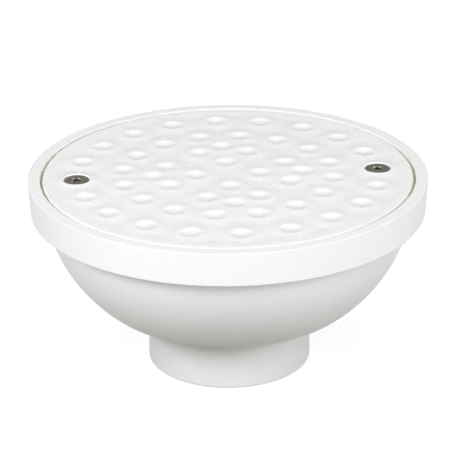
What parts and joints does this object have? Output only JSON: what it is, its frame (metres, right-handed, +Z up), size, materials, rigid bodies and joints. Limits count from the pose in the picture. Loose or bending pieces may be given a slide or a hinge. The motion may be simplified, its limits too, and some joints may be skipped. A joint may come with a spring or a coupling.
{
  "type": "floor drain",
  "caption": "Round-bottomed white plastic floor drain: drafted rim band, deep bowl, stepped collar and pipe hub, closed by a solid dimpled cover held by countersunk screws.",
  "frame": {"origin": "centre of the outlet hub's lower face, on the axis of the whole drain; the drain stands on that face", "axes": "+Z up along the drain's axis, out of the cover; +X through the two cover screws"},
  "size_m": [0.1872, 0.1872, 0.0933],
  "materials": {
    "body_plastic": "moulded white PVC, satin",
    "cover_plastic": "moulded white PVC, satin, dimpled",
    "screw_steel": "plain stainless steel, slightly dull",
    "insert_brass": "turned brass"
  },
  "bodies": {
    "root": {"drain_body": "body_plastic", "dimpled_cover": "cover_plastic", "left_screw": "screw_steel", "right_screw": "screw_steel", "left_insert": "insert_brass", "right_insert": "insert_brass"}
  },
  "joints": []
}
